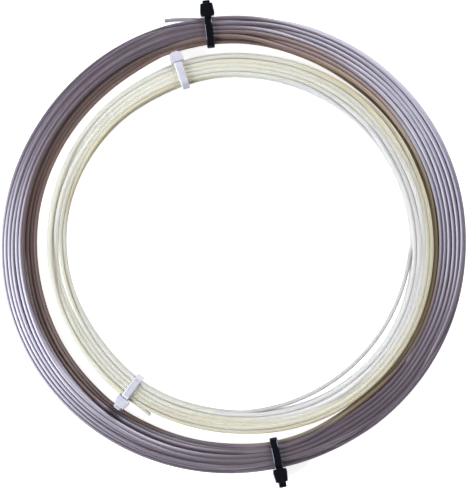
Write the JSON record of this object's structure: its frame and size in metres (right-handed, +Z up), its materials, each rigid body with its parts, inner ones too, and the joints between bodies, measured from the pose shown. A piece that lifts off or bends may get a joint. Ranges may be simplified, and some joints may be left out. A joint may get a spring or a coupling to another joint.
{
  "type": "racket string hanks",
  "caption": "Open rings of coiled racket string, a cream hank lying inside a grey one, each bound by small ratchet cable ties that slide along it.",
  "frame": {"origin": "on the surface the hanks lie on, below the middle of the grey hank", "axes": "+Z up, away from the surface; +Y towards the black cable tie beside the grey string's free end; +X towards the side where the cream hank lies against the grey one"},
  "size_m": [0.1432, 0.1527, 0.0058],
  "materials": {
    "grey_string": "smooth grey polyester monofilament with a silvery sheen",
    "cream_string": "clear-coated off-white multifilament, slightly translucent",
    "black_nylon": "moulded black nylon, satin",
    "white_nylon": "moulded natural white nylon, slightly translucent"
  },
  "bodies": {
    "grey_hank": {"grey_string_coil": "grey_string", "grey_string_tail": "grey_string"},
    "cream_hank": {"cream_string_coil": "cream_string", "cream_string_tail": "cream_string", "cream_slack_turn": "cream_string"},
    "black_top_tie": {"black_top_strap": "black_nylon", "black_top_head": "black_nylon"},
    "black_top_pawl": {"black_top_pawl": "black_nylon"},
    "black_bottom_tie": {"black_bottom_strap": "black_nylon", "black_bottom_head": "black_nylon"},
    "black_bottom_pawl": {"black_bottom_pawl": "black_nylon"},
    "white_top_tie": {"white_top_strap": "white_nylon", "white_top_head": "white_nylon"},
    "white_top_pawl": {"white_top_pawl": "white_nylon"},
    "white_lower_tie": {"white_lower_strap": "white_nylon", "white_lower_head": "white_nylon"},
    "white_lower_pawl": {"white_lower_pawl": "white_nylon"}
  },
  "joints": [
    {"name": "cream_hank_lift", "type": "slide", "parent": "grey_hank", "child": "cream_hank", "axis": [0, 0, 1], "range_m": [0, 0.03]},
    {"name": "black_top_tie_round_hank", "type": "hinge", "parent": "grey_hank", "child": "black_top_tie", "pos_m": [0, 0, 0.00281], "axis": [0, 0, 1], "range_deg": [-30, 0]},
    {"name": "black_top_pawl_flex", "type": "hinge", "parent": "black_top_tie", "child": "black_top_pawl", "pos_m": [-0.0082, 0.07201, 0.00266], "axis": [-0.9936, -0.1132, 0], "range_deg": [0, 12], "stiffness_Nm_per_rad": 0.01},
    {"name": "black_bottom_tie_round_hank", "type": "hinge", "parent": "grey_hank", "child": "black_bottom_tie", "pos_m": [0, 0, 0.00281], "axis": [0, 0, 1], "range_deg": [-20, 12]},
    {"name": "black_bottom_pawl_flex", "type": "hinge", "parent": "black_bottom_tie", "child": "black_bottom_pawl", "pos_m": [0.01445, -0.07102, 0.00266], "axis": [0.9799, 0.1994, 0], "range_deg": [0, 12], "stiffness_Nm_per_rad": 0.01},
    {"name": "white_top_tie_round_hank", "type": "hinge", "parent": "cream_hank", "child": "white_top_tie", "pos_m": [0.00207, 0, 0.00288], "axis": [0, 0, 1], "range_deg": [0, 30]},
    {"name": "white_top_pawl_flex", "type": "hinge", "parent": "white_top_tie", "child": "white_top_pawl", "pos_m": [-0.01783, 0.05782, 0.00273], "axis": [-0.9455, -0.3256, 0], "range_deg": [0, 12], "stiffness_Nm_per_rad": 0.01},
    {"name": "white_lower_tie_round_hank", "type": "hinge", "parent": "cream_hank", "child": "white_lower_tie", "pos_m": [0.00207, 0, 0.00288], "axis": [0, 0, 1], "range_deg": [-30, 0]},
    {"name": "white_lower_pawl_flex", "type": "hinge", "parent": "white_lower_tie", "child": "white_lower_pawl", "pos_m": [-0.03473, -0.04884, 0.00273], "axis": [0.7986, -0.6018, 0], "range_deg": [0, 12], "stiffness_Nm_per_rad": 0.01}
  ]
}
